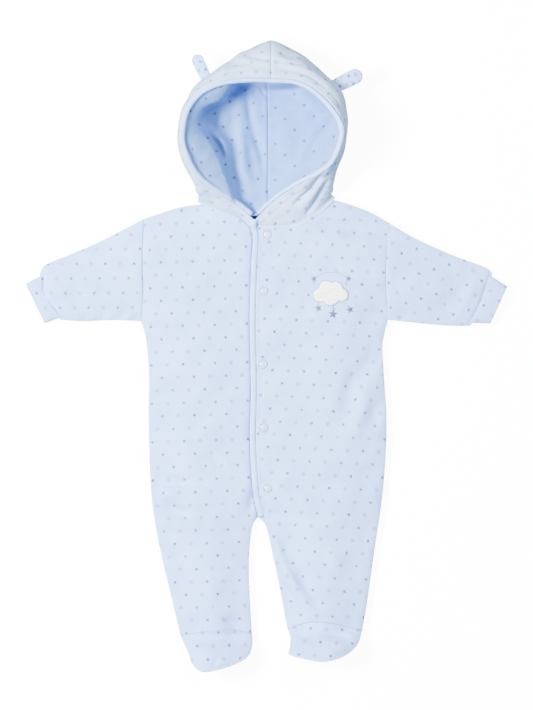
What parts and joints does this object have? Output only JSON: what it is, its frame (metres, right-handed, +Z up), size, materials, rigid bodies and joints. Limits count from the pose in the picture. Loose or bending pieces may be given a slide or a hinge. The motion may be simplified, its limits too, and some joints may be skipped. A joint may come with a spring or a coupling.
{
  "type": "baby snowsuit",
  "caption": "Hooded baby all-in-one of padded velour with ears, a press-stud front, cuffs and closed feet, laid flat on its back with the hood standing open.",
  "frame": {"origin": "on the surface the garment lies on, below the middle of its outline", "axes": "+X across the chest to the wearer's left, +Y from the feet towards the hood, +Z up out of the front"},
  "size_m": [0.5306, 0.6939, 0.0714],
  "materials": {
    "velour": "soft short pile, dotted print",
    "lining": "soft jersey, dotted print",
    "binding": "plain soft edge, topstitched",
    "snap": "pearly"
  },
  "bodies": {
    "root": {"front_left": "velour", "front_right": "velour", "underlap": "velour", "front_band": "binding", "back": "velour", "sleeve_left": "velour", "sleeve_right": "velour", "cuff_left": "velour", "cuff_right": "velour", "foot_top_left": "velour", "foot_top_right": "velour", "sole_left": "velour", "sole_right": "velour", "hood_left": "velour", "hood_right": "velour", "hood_lining_left": "lining", "hood_lining_right": "lining", "hood_binding": "binding", "ear_left": "velour", "ear_right": "velour", "snap_1": "snap", "snap_2": "snap", "snap_3": "snap", "snap_4": "snap", "snap_5": "snap"}
  },
  "joints": []
}
